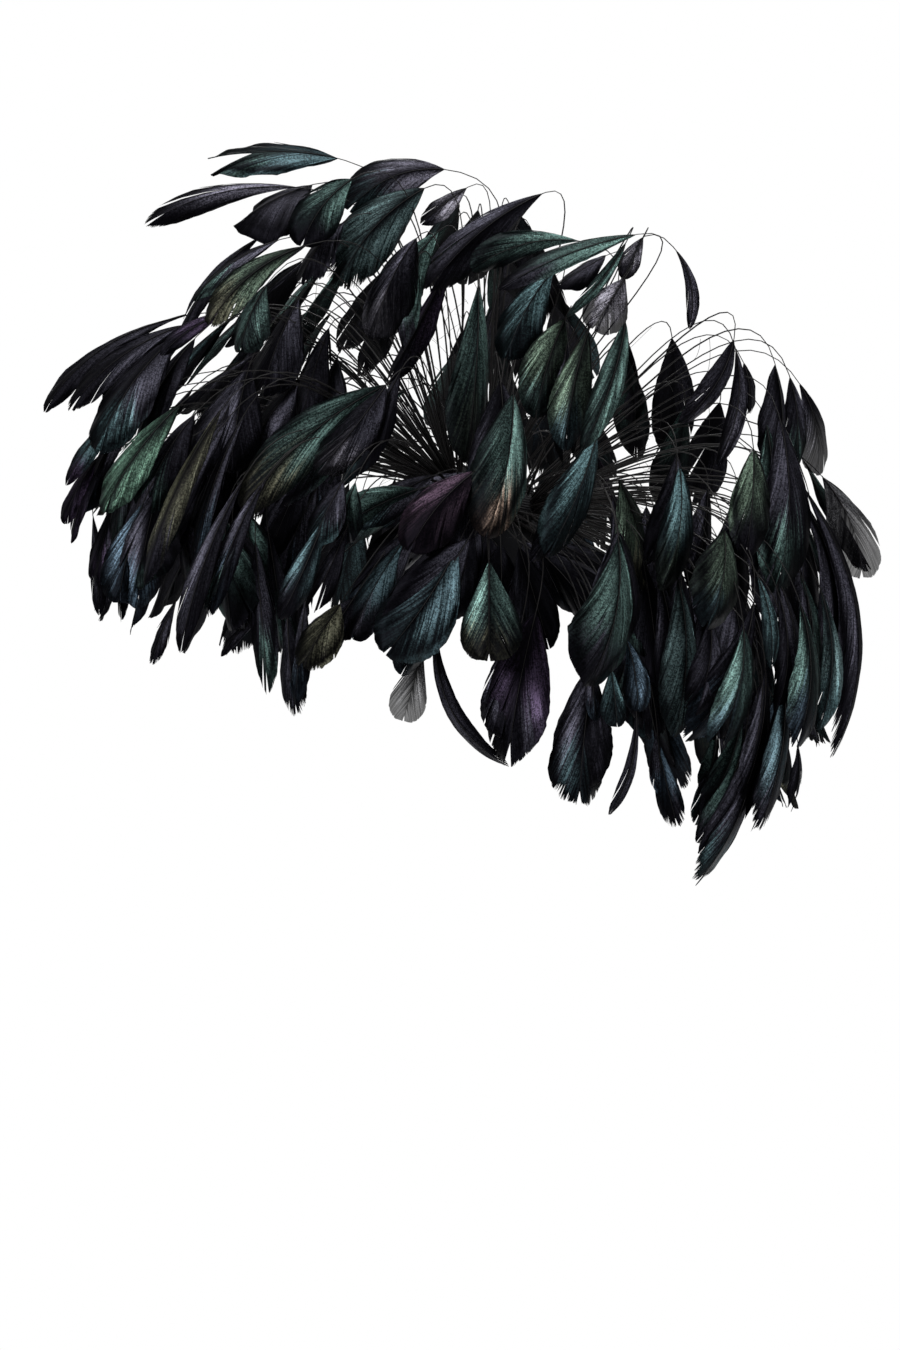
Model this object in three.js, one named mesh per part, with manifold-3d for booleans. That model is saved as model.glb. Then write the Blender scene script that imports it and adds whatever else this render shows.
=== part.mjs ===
// Fascinator of stripped cock feathers, upright as it is worn.
// Six bound bunches are sewn in a ring on a small domed felt base. Every feather is a bare
// quill that rises from its knot and arches over into one narrow, roofed vane.
// Millimetres, +X to the wearer's left, -Y to the front, +Z up.
// The origin is the middle of the base's underside, where it is seated.
import * as THREE from 'three';
import { mergeVertices } from 'three/addons/utils/BufferGeometryUtils.js';
import Module from 'manifold-3d';

// Driving dimensions
const SPAN = 350; // outermost tip to outermost tip, left to right
const FIT_GAP = 0.3; // clearance between pieces that touch

const HEAD_RADIUS = 95; // curve of the underside of the base
const BASE_RADIUS = 38; // measured along the dome's chord
const BASE_WALL = 1.8;
const BASE_FORWARD_TILT = THREE.MathUtils.degToRad(20);
const BASE_SIDE_TILT = THREE.MathUtils.degToRad(15);

const KNOT_RADIUS = 6.6; // bound quill ends of one bunch
const KNOT_RING_RADIUS = 15; // ring that the six knots are sewn on
const SECTOR_HALF_ANGLE = THREE.MathUtils.degToRad(30); // room of one bunch, seen from above

const QUILL_FOOT = 1.8; // quill's thickness in the knot
const QUILL_HEAD = 1.1; // quill's thickness where the vane starts
const QUILL_LIFT = 0.35; // how much steeper a quill leaves its knot than its vane lies
const QUILL_REACH = 0.4; // share of a quill that keeps its first and its last direction
const VANE_RIDGE = 1.6; // thickness along the shaft
const VANE_ARCH = 0.06; // outward bulge of a vane, share of its length
const VANE_ROLL = THREE.MathUtils.degToRad(24); // largest turn of a vane about its shaft
const TIP_LEAN = 0.22; // how far a tip lies out past its root, share of the vane's length
const VIEW_FACING = 0.8; // how much a charted vane turns its face to the front
const LEAST_SEEN = 0.72; // least share of its width that a charted vane may show to the front
const VANE_ROOM = { middle: 1.6, tip: 0.8 }; // room beside the vane's curve, shares of half its width

const TIER_LENGTH = 60; // vane of a feather in a tier
const TIER_FLARE = 0.45; // outward slope of such a vane where it starts level with the base
const TIER_VARIATION = { elevation: 9, length: 0.3, width: 0.3 }; // degrees, then shares

const COMB_WIDTH = 42;
const COMB_SPINE = { deep: 4.5, high: 2.6 };
const COMB_TOOTH = { count: 9, length: 30, foot: 1.0, tip: 0.5 };
const COMB_SETBACK = 24; // spine's distance in front of the base's middle

const FACETS = { knotAround: 8, knotDown: 5, baseAround: 20, baseArc: 4, tooth: 6 };

// The feather chart is a front view, counted right and down in units of CHART_UNIT.
const CHART_EDGE = { left: 47, right: 882 };
const CHART_CENTRE = { x: 490, y: 515 };
const CHART_UNIT = SPAN / (CHART_EDGE.right - CHART_EDGE.left);

// Sections of a feather: shares of the quill's length, then shares of the vane's length with
// half its width there. The first and the last section are points.
const QUILL_SECTIONS = [0, 0.25, 0.5, 0.78];
const VANE_SECTIONS = [
  { at: 0.0, half: 0.0 },
  { at: 0.25, half: 0.72 },
  { at: 0.56, half: 1.0 },
  { at: 0.84, half: 0.76 },
  { at: 1.0, half: 0.0 },
];
const CORNERS = 3; // ridge, right edge, left edge
const ROUND = { ridge: 1, side: 0.87, under: 0.5 }; // three corners on a circle, shares of its radius

// One bunch per sixth of the circle. Azimuth is counted from the front towards +X.
// charted: rootX, rootY, tipX, tipY and width in chart units, depth of the root in front of the
//          centre in mm, and bow, the sideways bulge to the left as a share of the length
// tiers:   rows of like feathers at the sides and back: elevation of the roots, first and last
//          azimuth in degrees, count, and width and reach from the centre to the root in mm
const SPRAYS = [
  {
    name: 'front_spray',
    azimuth: 5,
    charted: [
      [478, 290, 465, 468, 43, 75, 0.05],
      [553, 275, 505, 365, 50, 74, -0.1],
      [563, 325, 534, 424, 45, 86, -0.08],
      [586, 338, 563, 456, 38, 95, -0.08],
      [622, 329, 578, 456, 30, 104, 0.08],
      [512, 399, 485, 541, 55, 112, 0.1],
      [476, 475, 410, 555, 50, 118, -0.12],
      [594, 440, 543, 561, 40, 101, 0.06],
      [457, 550, 386, 655, 60, 120, 0.08],
      [488, 563, 488, 662, 56, 124, 0],
      [424, 650, 404, 720, 38, 104, 0],
      [436, 630, 508, 764, 17, 108, -0.3],
      [534, 614, 506, 764, 58, 114, -0.05],
      [614, 540, 582, 687, 60, 122, 0.16],
      [590, 670, 576, 803, 58, 108, -0.05],
      [607, 667, 613, 726, 25, 122, 0],
      [621, 637, 633, 711, 26, 118, 0.08],
      [542, 199, 428, 297, 38, 62, -0.1],
      [578, 248, 471, 277, 36, 78, -0.16],
      [633, 243, 497, 298, 22, 98, -0.06],
      [623, 250, 564, 325, 13, 94, 0.1],
      [603, 263, 554, 294, 26, 86, 0],
      [621, 285, 600, 328, 36, 98, 0],
      [632, 705, 605, 812, 12, 104, 0.15],
    ],
    tiers: [],
  },
  {
    name: 'right_front_spray',
    azimuth: 65,
    charted: [
      [617, 482, 644, 593, 34, 60, 0.08],
      [676, 469, 658, 593, 38, 78, 0.1],
      [674, 578, 669, 736, 36, 80, 0.1],
      [749, 453, 740, 561, 44, 76, 0],
      [776, 420, 770, 597, 46, 56, 0.08],
      [719, 532, 700, 630, 46, 92, 0.12],
      [821, 477, 860, 579, 44, 16, 0.12],
      [804, 492, 828, 759, 30, 24, 0.24],
      [738, 628, 704, 750, 38, 98, 0.14],
      [752, 577, 764, 669, 18, 90, 0.1],
      [794, 603, 788, 747, 32, 82, 0.14],
      [815, 588, 812, 729, 24, 62, 0.14],
      [779, 675, 752, 828, 30, 86, 0.08],
      [794, 744, 786, 810, 15, 60, 0.08],
      [653, 735, 674, 825, 26, 76, -0.04],
      [752, 750, 689, 882, 30, 86, 0.1],
      [740, 740, 692, 840, 26, 74, 0.06],
      [725, 745, 705, 822, 22, 66, 0.04],
      [773, 367, 776, 480, 34, 36, 0.04],
      [799, 385, 815, 476, 32, 14, 0.12],
      [731, 343, 676, 427, 22, 52, 0.16],
      [733, 352, 714, 468, 20, 46, 0.14],
      [742, 365, 745, 416, 22, 30, 0.1],
      [641, 243, 620, 284, 22, 60, 0],
      [672, 253, 686, 334, 13, 56, 0.2],
      [760, 480, 775, 640, 46, 34, 0],
      [700, 600, 715, 740, 50, 62, 0],
      [640, 600, 650, 740, 45, 48, 0],
      [775, 690, 742, 800, 36, 60, 0.06],
      [788, 378, 792, 470, 28, 26, 0.06],
      [655, 520, 665, 640, 40, 52, 0],
      [722, 560, 742, 690, 44, 60, 0],
      [792, 500, 802, 640, 40, 22, 0],
    ],
    tiers: [
      [-4, 81, 91, 2, 19, 122],
      [-20, 80, 90, 2, 19, 122],
      [-34, 78, 88, 2, 18, 122],
    ],
  },
  {
    name: 'right_back_spray',
    azimuth: 125,
    charted: [
      [674, 335, 670, 455, 46, -42, 0],
      [630, 341, 635, 422, 28, -34, 0],
      [722, 400, 690, 505, 46, -34, 0],
      [838, 560, 850, 700, 34, -34, 0.08],
    ],
    tiers: [
      [12, 103, 103, 1, 17, 138],
      [-9, 100, 112, 3, 18, 132],
      [-19, 105, 150, 6, 18, 132],
      [-31, 100, 138, 5, 17, 120],
    ],
  },
  {
    name: 'back_spray',
    azimuth: 185,
    charted: [],
    tiers: [
      [74, 168, 204, 3, 17, 138],
      [60, 164, 176, 2, 17, 138],
      [44, 163, 178, 3, 18, 138],
      [28, 162, 177, 3, 19, 138],
      [14, 161, 178, 3, 19, 138],
      [6, 165, 210, 8, 18, 138],
      [22, 205, 211, 2, 18, 138],
      [36, 183, 186, 2, 17, 138],
      [52, 204, 209, 2, 17, 138],
    ],
  },
  {
    name: 'left_back_spray',
    azimuth: 245,
    charted: [],
    tiers: [
      [55, 232, 262, 3, 17, 138],
      [38, 226, 269, 5, 18, 138],
      [20, 221, 270, 6, 18, 138],
      [4, 221, 270, 6, 19, 138],
      [-2, 224, 252, 3, 18, 110],
    ],
  },
  {
    name: 'left_front_spray',
    azimuth: 305,
    charted: [
      [425, 191, 338, 290, 55, 30, -0.12],
      [417, 243, 376, 342, 46, 55, -0.1],
      [439, 234, 386, 334, 44, 38, -0.1],
      [450, 265, 387, 386, 22, 30, 0.06],
      [467, 189, 421, 226, 22, 15, 0],
      [387, 388, 247, 514, 55, 60, -0.1],
      [387, 389, 317, 477, 40, 70, 0.08],
      [419, 491, 328, 540, 40, 50, -0.08],
      [405, 542, 353, 640, 40, 72, -0.06],
      [345, 484, 314, 550, 36, 94, 0],
      [327, 522, 283, 621, 26, 98, 0.06],
      [342, 605, 303, 668, 36, 88, 0],
      [290, 616, 300, 715, 24, 80, 0],
      [258, 542, 271, 694, 27, 76, 0.05],
      [229, 522, 236, 633, 46, 70, 0],
      [248, 480, 186, 654, 22, 86, -0.05],
      [225, 414, 150, 587, 24, 82, -0.05],
      [185, 408, 110, 516, 43, 78, -0.06],
      [147, 504, 123, 604, 45, 58, 0],
      [181, 338, 101, 457, 45, 58, -0.08],
      [184, 328, 73, 414, 26, 38, -0.12],
      [188, 317, 47, 414, 22, 24, -0.18],
      [103, 457, 68, 526, 20, 42, -0.06],
      [95, 515, 102, 616, 17, 32, 0.08],
      [182, 515, 207, 606, 32, 42, 0],
      [180, 599, 155, 665, 15, 56, 0],
      [235, 315, 165, 360, 17, 62, -0.1],
      [270, 289, 243, 358, 40, 72, -0.06],
      [304, 252, 212, 333, 32, 66, -0.14],
      [280, 244, 196, 305, 20, 46, -0.1],
      [262, 239, 183, 338, 17, 32, -0.1],
      [300, 190, 146, 230, 20, 28, -0.12],
      [313, 187, 249, 239, 45, 22, -0.08],
      [353, 183, 301, 251, 42, 42, -0.12],
      [445, 171, 349, 213, 42, 16, -0.2],
      [300, 300, 262, 400, 42, 38, 0],
      [330, 330, 300, 440, 38, 34, 0],
      [300, 380, 235, 480, 45, 38, 0],
      [250, 370, 205, 480, 45, 44, 0],
      [330, 430, 270, 560, 45, 44, 0],
      [215, 430, 190, 560, 45, 32, 0],
      [300, 500, 262, 600, 42, 46, 0],
      [270, 610, 224, 657, 11, 64, -0.12],
      [338, 159, 206, 166, 36, 8, -0.08],
      [128, 415, 70, 488, 18, 46, -0.1],
      [118, 440, 75, 545, 20, 40, -0.08],
    ],
    tiers: [
      [12, 279, 288, 2, 18, 124],
    ],
  },
];

const UP = new THREE.Vector3(0, 0, 1);
const FRONT = new THREE.Vector3(0, -1, 0);
const SEAT_TURN = new THREE.Euler(BASE_FORWARD_TILT, BASE_SIDE_TILT, 0);

const FELT = { color: 0x0c0c0e, roughness: 0.95, metalness: 0 };
const COMB_PLASTIC = { color: 0x111113, roughness: 0.4, metalness: 0 };
const FEATHER = { color: 0x12211f, roughness: 0.45, metalness: 0.1 };

const wasm = await Module();
wasm.setup();

function solidOf(geometry) {
  geometry.deleteAttribute('normal');
  geometry.deleteAttribute('uv');
  const merged = mergeVertices(geometry);
  const vertProperties = new Float32Array(merged.attributes.position.array);
  const triVerts = new Uint32Array(merged.index.array);
  return new wasm.Manifold(new wasm.Mesh({ numProp: 3, vertProperties, triVerts }));
}

function geometryOf(solid) {
  const mesh = solid.getMesh();
  const geometry = new THREE.BufferGeometry();
  geometry.setAttribute('position', new THREE.BufferAttribute(mesh.vertProperties, 3));
  geometry.setIndex(new THREE.BufferAttribute(mesh.triVerts, 1));
  return geometry;
}

function piece(name, geometry, finish) {
  const mesh = new THREE.Mesh(geometry, new THREE.MeshStandardMaterial(finish));
  mesh.name = name;
  return mesh;
}

// Horizontal direction of an azimuth counted from the front towards +X
function heading(azimuth) {
  return new THREE.Vector3(Math.sin(azimuth), -Math.cos(azimuth), 0);
}

// Inward normals of the two upright planes that bound a bunch's sixth of the circle
function sectorWalls(azimuth) {
  const quarter = Math.PI / 2;
  return [heading(azimuth - SECTOR_HALF_ANGLE + quarter), heading(azimuth + SECTOR_HALF_ANGLE - quarter)];
}

// Slides a point to or from the front until it lies inside both walls
function keepInside(point, walls, margin) {
  for (const wall of walls) {
    const overshoot = margin - wall.dot(point);
    if (overshoot > 0) point.y += overshoot / wall.y;
  }
  return point;
}

// Longest way back from a point, up to a limit, that stays inside both walls
function roomBehind(point, direction, walls, margin, limit) {
  let room = limit;
  for (const wall of walls) {
    const closing = wall.dot(direction);
    if (closing > 0) room = Math.min(room, (wall.dot(point) - margin) / closing);
  }
  return Math.max(room, QUILL_HEAD);
}

function fromChart(x, y, depth) {
  return new THREE.Vector3((x - CHART_CENTRE.x) * CHART_UNIT, -depth, (CHART_CENTRE.y - y) * CHART_UNIT);
}

function chartedFeather([rootX, rootY, tipX, tipY, width, depth, bow]) {
  const root = fromChart(rootX, rootY, depth);
  const tip = fromChart(tipX, tipY, depth);
  tip.y -= Math.sign(depth) * TIP_LEAN * root.distanceTo(tip);
  const toFront = FRONT.clone().multiplyScalar(Math.sign(depth) * VIEW_FACING);
  return { root, tip, seenWidth: width * CHART_UNIT, bow, toFront };
}

// Share from -0.5 to 0.5 that is spread evenly over neighbouring rows
function variation(index) {
  const golden = (Math.sqrt(5) - 1) / 2;
  return ((index * golden) % 1) - 0.5;
}

function tierFeathers([elevation, firstAzimuth, lastAzimuth, count, width, reach]) {
  const feathers = [];
  for (let i = 0; i < count; i += 1) {
    const share = count > 1 ? i / (count - 1) : 0;
    const vary = variation(i + 1 + count);
    const outward = heading(THREE.MathUtils.degToRad(THREE.MathUtils.lerp(firstAzimuth, lastAzimuth, share)));
    const slope = THREE.MathUtils.degToRad(elevation + TIER_VARIATION.elevation * vary);
    const root = outward.clone().multiplyScalar(reach * Math.cos(slope));
    root.z = reach * Math.sin(slope);
    const fall = outward.clone().multiplyScalar(TIER_FLARE + Math.max(0, Math.sin(slope))).sub(UP);
    const length = TIER_LENGTH * (1 + TIER_VARIATION.length * vary);
    const tip = root.clone().addScaledVector(fall.normalize(), length);
    const seenWidth = width * (1 - TIER_VARIATION.width * vary);
    feathers.push({ root, tip, seenWidth, bow: 0, toFront: new THREE.Vector3() });
  }
  return feathers;
}

// A vane faces outwards and a little to the front, turned about its shaft from row to row.
// A charted width is the width seen from the front, so a vane that turns away is wider.
function faceAndHalfWidth({ root, tip, seenWidth, toFront }, index) {
  const outward = root.clone().lerp(tip, 0.5).normalize();
  const along = tip.clone().sub(root).normalize();
  const face = outward.add(toFront).normalize().applyAxisAngle(along, 2 * variation(index) * VANE_ROLL);
  face.addScaledVector(along, -face.dot(along)).normalize();
  const seen = toFront.lengthSq() > 0 ? Math.max(Math.abs(face.dot(FRONT)), LEAST_SEEN) : 1;
  return { face, halfWidth: seenWidth / seen / 2 };
}

// Quill and vane as two curves that meet at the root with one direction
function featherCurves({ root, tip, bow }, halfWidth, knot, walls) {
  const quillMargin = QUILL_FOOT / 2 + FIT_GAP;
  keepInside(root, walls, quillMargin);
  keepInside(tip, walls, VANE_ROOM.tip * halfWidth + VANE_RIDGE);
  const length = root.distanceTo(tip);
  const sideways = new THREE.Vector3(root.z - tip.z, 0, tip.x - root.x);
  const middle = root.clone().lerp(tip, 0.5);
  const outward = middle.clone().normalize();
  middle.addScaledVector(outward, VANE_ARCH * length);
  middle.addScaledVector(sideways, bow);
  keepInside(middle, walls, VANE_ROOM.middle * halfWidth + VANE_RIDGE);
  const vane = new THREE.QuadraticBezierCurve3(root, middle, tip);

  const rise = root.clone().sub(knot);
  const reach = QUILL_REACH * rise.length();
  const start = rise.normalize().addScaledVector(UP, QUILL_LIFT).normalize();
  const afterKnot = knot.clone().addScaledVector(start, reach);
  const entry = middle.clone().sub(root).normalize();
  const beforeRoot = root.clone().addScaledVector(entry, -roomBehind(root, entry, walls, quillMargin, reach));
  const quill = new THREE.CubicBezierCurve3(knot, afterKnot, beforeRoot, root);
  return { quill, vane };
}

function featherSections(quill, vane, halfWidth) {
  const sections = QUILL_SECTIONS.map((at) => {
    const radius = at === 0 ? 0 : THREE.MathUtils.lerp(QUILL_FOOT, QUILL_HEAD, at) / 2;
    return { place: quill.getPoint(at), along: quill.getTangent(at), ...roundSection(radius) };
  });
  for (const { at, half } of VANE_SECTIONS) {
    const flat = { ridge: VANE_RIDGE / 2, side: half * halfWidth, under: VANE_RIDGE / 2 };
    const shape = half > 0 ? flat : roundSection(at === 0 ? QUILL_HEAD / 2 : 0);
    sections.push({ place: vane.getPoint(at), along: vane.getTangent(at), ...shape });
  }
  return sections;
}

function roundSection(radius) {
  return { ridge: ROUND.ridge * radius, side: ROUND.side * radius, under: ROUND.under * radius };
}

// A closed three-cornered skin through the sections, carried back from the tip without twist
function featherSolid(sections, face) {
  const normal = face.clone();
  for (const section of sections.toReversed()) {
    normal.addScaledVector(section.along, -normal.dot(section.along)).normalize();
    const across = section.along.clone().cross(normal);
    const under = section.place.clone().addScaledVector(normal, -section.under);
    section.corners = [
      section.place.clone().addScaledVector(normal, section.ridge),
      under.clone().addScaledVector(across, section.side),
      under.clone().addScaledVector(across, -section.side),
    ];
  }
  const last = sections.length - 1;
  const skin = new THREE.CylinderGeometry(0, 0, 1, CORNERS, last);
  const { position, uv } = skin.attributes;
  for (let i = 0; i < position.count; i += 1) {
    const section = sections[Math.round(uv.getY(i) * last)];
    const corner = section.corners[Math.round(uv.getX(i) * CORNERS) % CORNERS];
    position.setXYZ(i, corner.x, corner.y, corner.z);
  }
  return solidOf(skin);
}

// The knot rests on the dome, FIT_GAP clear of it
function knotCentre(azimuth) {
  const dome = UP.clone().applyEuler(SEAT_TURN).multiplyScalar(-HEAD_RADIUS);
  const centre = heading(azimuth).multiplyScalar(KNOT_RING_RADIUS);
  const distance = HEAD_RADIUS + BASE_WALL + FIT_GAP + KNOT_RADIUS;
  const level = (centre.x - dome.x) ** 2 + (centre.y - dome.y) ** 2;
  centre.z = dome.z + Math.sqrt(distance ** 2 - level);
  return centre;
}

function makeSpray({ name, azimuth, charted, tiers }) {
  const middle = THREE.MathUtils.degToRad(azimuth);
  const walls = sectorWalls(middle);
  const knot = knotCentre(middle);
  const ball = new THREE.SphereGeometry(KNOT_RADIUS, FACETS.knotAround, FACETS.knotDown);
  ball.translate(knot.x, knot.y, knot.z);
  let bunch = solidOf(ball);
  const feathers = [...charted.map(chartedFeather), ...tiers.flatMap(tierFeathers)];
  feathers.forEach((feather, index) => {
    const { face, halfWidth } = faceAndHalfWidth(feather, index);
    const { quill, vane } = featherCurves(feather, halfWidth, knot, walls);
    bunch = bunch.add(featherSolid(featherSections(quill, vane, halfWidth), face));
  });
  return piece(name, geometryOf(bunch), FEATHER);
}

// Domed felt disc: two arcs about one centre, joined at the rim
function makeBase() {
  const rim = Math.asin(BASE_RADIUS / HEAD_RADIUS);
  const steps = FACETS.baseArc;
  const profile = [];
  for (let i = 0; i <= steps; i += 1) {
    const angle = (rim * i) / steps;
    const drop = HEAD_RADIUS * Math.cos(angle) - HEAD_RADIUS;
    profile.push(new THREE.Vector2(HEAD_RADIUS * Math.sin(angle), drop));
  }
  const outer = HEAD_RADIUS + BASE_WALL;
  for (let i = steps; i >= 0; i -= 1) {
    const angle = (rim * i) / steps;
    profile.push(new THREE.Vector2(outer * Math.sin(angle), outer * Math.cos(angle) - HEAD_RADIUS));
  }
  const dome = new THREE.LatheGeometry(profile, FACETS.baseAround);
  dome.rotateX(Math.PI / 2);
  return piece('base', dome, FELT);
}

// Plain comb: a straight spine under the front of the dome, its teeth pointing back
function makeComb() {
  const corner = Math.hypot(COMB_WIDTH / 2, COMB_SETBACK + COMB_SPINE.deep / 2);
  const domeDrop = HEAD_RADIUS - Math.sqrt(HEAD_RADIUS ** 2 - corner ** 2);
  const level = -domeDrop - FIT_GAP - COMB_SPINE.high / 2;
  let comb = solidOf(new THREE.BoxGeometry(COMB_WIDTH, COMB_SPINE.deep, COMB_SPINE.high));
  const pitch = (COMB_WIDTH - 2 * COMB_TOOTH.foot) / COMB_TOOTH.count;
  for (let i = 0; i < COMB_TOOTH.count; i += 1) {
    const { tip, foot, length } = COMB_TOOTH;
    const tooth = new THREE.CylinderGeometry(tip, foot, length, FACETS.tooth);
    const across = (i - (COMB_TOOTH.count - 1) / 2) * pitch;
    tooth.translate(across, length / 2, 0);
    comb = comb.add(solidOf(tooth));
  }
  const mesh = piece('comb', geometryOf(comb), COMB_PLASTIC);
  mesh.position.set(0, -COMB_SETBACK, level);
  return mesh;
}

const seat = new THREE.Group();
seat.rotation.copy(SEAT_TURN);
seat.add(makeBase(), makeComb());

const fascinator = new THREE.Group();
fascinator.add(seat, ...SPRAYS.map(makeSpray));

export default fascinator;
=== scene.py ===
import math

import bmesh
import bpy
import numpy as np
from mathutils import Matrix, Vector


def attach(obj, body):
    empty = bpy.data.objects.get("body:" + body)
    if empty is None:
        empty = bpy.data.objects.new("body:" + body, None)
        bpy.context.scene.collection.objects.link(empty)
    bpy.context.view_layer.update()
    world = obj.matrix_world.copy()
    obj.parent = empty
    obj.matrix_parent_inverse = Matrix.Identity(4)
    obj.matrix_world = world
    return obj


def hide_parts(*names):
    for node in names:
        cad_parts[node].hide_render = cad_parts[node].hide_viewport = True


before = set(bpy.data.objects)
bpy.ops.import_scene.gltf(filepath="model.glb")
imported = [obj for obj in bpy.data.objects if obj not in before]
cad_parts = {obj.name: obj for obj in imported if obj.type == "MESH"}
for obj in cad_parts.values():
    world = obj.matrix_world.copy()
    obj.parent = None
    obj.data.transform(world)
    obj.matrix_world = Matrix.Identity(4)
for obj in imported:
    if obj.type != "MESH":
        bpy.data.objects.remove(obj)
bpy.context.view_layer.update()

# Camera
# A level view of the front from far off, so that near feathers hardly look larger than far ones.
# The feather chart is counted right and down over a front view of 900 by 1350 units.
SPAN = 0.350
CHART_LEFT, CHART_RIGHT = 47, 882
CHART_CENTRE = (490, 515)
CHART_SIZE = (900, 1350)
CHART_UNIT = SPAN / (CHART_RIGHT - CHART_LEFT)
CAMERA_DISTANCE = 5.0
SENSOR = 36.0


def from_chart(x, y, depth):
    """Point in metres of a place on the chart, depth in front of the centre."""
    return Vector(((x - CHART_CENTRE[0]) * CHART_UNIT, -depth, (CHART_CENTRE[1] - y) * CHART_UNIT))


camera = bpy.data.objects.new("front_view", bpy.data.cameras.new("front_view"))
camera.data.sensor_width = SENSOR
camera.data.lens = SENSOR * CAMERA_DISTANCE / (CHART_SIZE[1] * CHART_UNIT)
camera.location = from_chart(CHART_SIZE[0] / 2, CHART_SIZE[1] / 2, CAMERA_DISTANCE)
camera.rotation_euler = (math.radians(90), 0, 0)
bpy.context.collection.objects.link(camera)
bpy.context.scene.camera = camera

# Felt base
# A small disc of black wool felt, steamed over a domed block and left raw at its rim. The bunches
# of feathers are sewn to it in a ring.
MM = 0.001
DOME_RADIUS = 95 * MM
BASE_RADIUS = 38 * MM
BASE_WALL = 1.8 * MM
BASE_FORWARD_TILT = math.radians(20)
BASE_SIDE_TILT = math.radians(15)
SEAT_TURN = Matrix.Rotation(BASE_FORWARD_TILT, 4, "X") @ Matrix.Rotation(BASE_SIDE_TILT, 4, "Y")

# Numbers of the colour sockets of a Mix node
MIX_FIRST, MIX_SECOND, MIX_RESULT = 6, 7, 2


class Shade:
    """A shader socket. Arithmetic on it adds Math nodes, and node() adds any other node."""

    def __init__(self, tree, socket=None):
        self.tree = tree
        self.socket = socket

    def node(self, kind, settings, sockets, output=0):
        made = self.tree.nodes.new("ShaderNode" + kind)
        for name, setting in settings.items():
            setattr(made, name, setting)
        for name, value in sockets.items():
            if isinstance(value, Shade):
                self.tree.links.new(value.socket, made.inputs[name])
            else:
                made.inputs[name].default_value = value
        return Shade(self.tree, made.outputs[output] if made.outputs else None)

    def math(self, operation, *others):
        return self.node("Math", {"operation": operation}, dict(enumerate((self, *others))))

    def __add__(self, other):
        return self.math("ADD", other)

    def __sub__(self, other):
        return self.math("SUBTRACT", other)

    def __rsub__(self, other):
        return self.node("Math", {"operation": "SUBTRACT"}, {0: other, 1: self})

    def __mul__(self, other):
        return self.math("MULTIPLY", other)

    def __pow__(self, other):
        return self.math("POWER", other)

    def __abs__(self):
        return self.math("ABSOLUTE")

    __radd__ = __add__
    __rmul__ = __mul__

    def mix(self, first, second):
        """Colour that goes from first to second as this value goes from 0 to 1."""
        sockets = {"Factor": self, MIX_FIRST: first, MIX_SECOND: second}
        return self.node("Mix", {"data_type": "RGBA"}, sockets, MIX_RESULT)

    def noise(self, scale, detail):
        """Noise from 0 to 1 over this place."""
        return self.node("TexNoise", {}, {"Vector": self, "Scale": scale, "Detail": detail})

    def bump(self, strength, distance):
        """Normal of a surface that is raised by this value."""
        return self.node("Bump", {}, {"Height": self, "Strength": strength, "Distance": distance})

    def ramp(self, low, high):
        """Smooth step from 0 where this value is low to 1 where it is high."""
        settings = {"interpolation_type": "SMOOTHSTEP"}
        return self.node("MapRange", settings, {"Value": self, "From Min": low, "From Max": high})

    def above(self, least):
        """This share, squeezed into the range from least to 1."""
        return least + (1 - least) * self


def new_finish(name):
    """An empty material and the Shade that its nodes are made from."""
    finish = bpy.data.materials.new(name)
    finish.use_nodes = True
    finish.node_tree.nodes.clear()
    return finish, Shade(finish.node_tree)


def close_finish(start, sockets):
    """Ends a material in one Principled shader with these sockets."""
    surface = start.node("BsdfPrincipled", {}, sockets)
    start.node("OutputMaterial", {}, {"Surface": surface})


def finished_object(name, shape, finishes):
    """An object at the origin from a bmesh, with smooth faces and these materials."""
    mesh = bpy.data.meshes.new(name)
    shape.to_mesh(mesh)
    shape.free()
    mesh.shade_smooth()
    for finish in finishes:
        mesh.materials.append(finish)
    made = bpy.data.objects.new(name, mesh)
    bpy.context.collection.objects.link(made)
    return made


FELT_DARK = (0.003, 0.003, 0.0035, 1)
FELT_PALE = (0.008, 0.008, 0.009, 1)
FELT_FIBRES = 900
FELT_CLOUDS = 60
FELT_NAP = 0.4 * MM
FELT_SHINE = 0.02
felt, start = new_finish("black_felt")
place = start.node("TexCoord", {}, {}, "Object")
tufts = place.noise(FELT_FIBRES, 6)
clouds = place.noise(FELT_CLOUDS, 3)
close_finish(start, {
    "Base Color": (tufts * 0.6 + clouds * 0.4).mix(FELT_DARK, FELT_PALE),
    "Roughness": tufts.above(0.9),
    "Specular IOR Level": FELT_SHINE,
    "Normal": tufts.bump(0.5, FELT_NAP),
})

ROUNDING_STEPS = 3


def round_edges(shape, edges, radius):
    """Rounds edges of a bmesh in a few steps."""
    bmesh.ops.bevel(
        shape, geom=edges, offset=radius, affect="EDGES", segments=ROUNDING_STEPS, profile=0.5,
        material=-1,
    )


DOME_SEGMENTS = 72
RIM_CORNER = math.radians(60)
RIM_ROUNDING = BASE_WALL * 0.35
dome = bmesh.new()
bmesh.ops.create_uvsphere(dome, u_segments=DOME_SEGMENTS, v_segments=DOME_SEGMENTS, radius=DOME_RADIUS)
rim_height = math.sqrt(DOME_RADIUS**2 - BASE_RADIUS**2)
everything = dome.verts[:] + dome.edges[:] + dome.faces[:]
bmesh.ops.bisect_plane(
    dome, geom=everything, plane_co=(0, 0, rim_height), plane_no=(0, 0, 1), clear_inner=True
)
bmesh.ops.recalc_face_normals(dome, faces=dome.faces[:])
bmesh.ops.solidify(dome, geom=dome.faces[:], thickness=-BASE_WALL)
bmesh.ops.recalc_face_normals(dome, faces=dome.faces[:])
rim_edges = [edge for edge in dome.edges if edge.calc_face_angle(0) > RIM_CORNER]
round_edges(dome, rim_edges, RIM_ROUNDING)
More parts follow.
